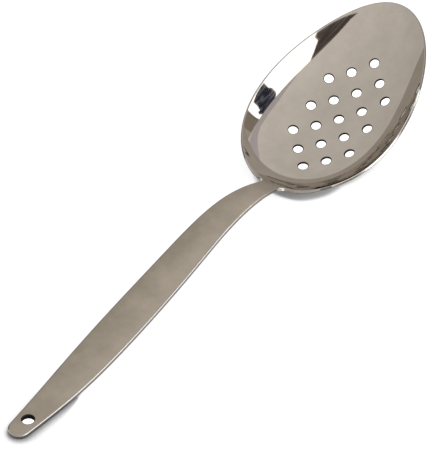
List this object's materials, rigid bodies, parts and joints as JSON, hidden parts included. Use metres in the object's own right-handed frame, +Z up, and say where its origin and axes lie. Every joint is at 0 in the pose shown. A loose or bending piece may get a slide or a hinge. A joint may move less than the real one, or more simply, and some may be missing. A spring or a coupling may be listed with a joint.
{
  "type": "slotted spoon",
  "caption": "One-piece stainless steel serving spoon with a perforated egg-shaped bowl and an arched flat handle that ends in a hanging hole.",
  "frame": {"origin": "on the table under the middle of the spoon's bounding box", "axes": "+X along the spoon from the end of the handle to the tip of the bowl, +Z up, with the hollow of the bowl upward"},
  "size_m": [0.3314, 0.084, 0.0509],
  "materials": {
    "steel": "mirror-polished bowl and rim, satin-brushed handle with polished edges"
  },
  "bodies": {
    "root": {"spoon": "steel"}
  },
  "joints": []
}
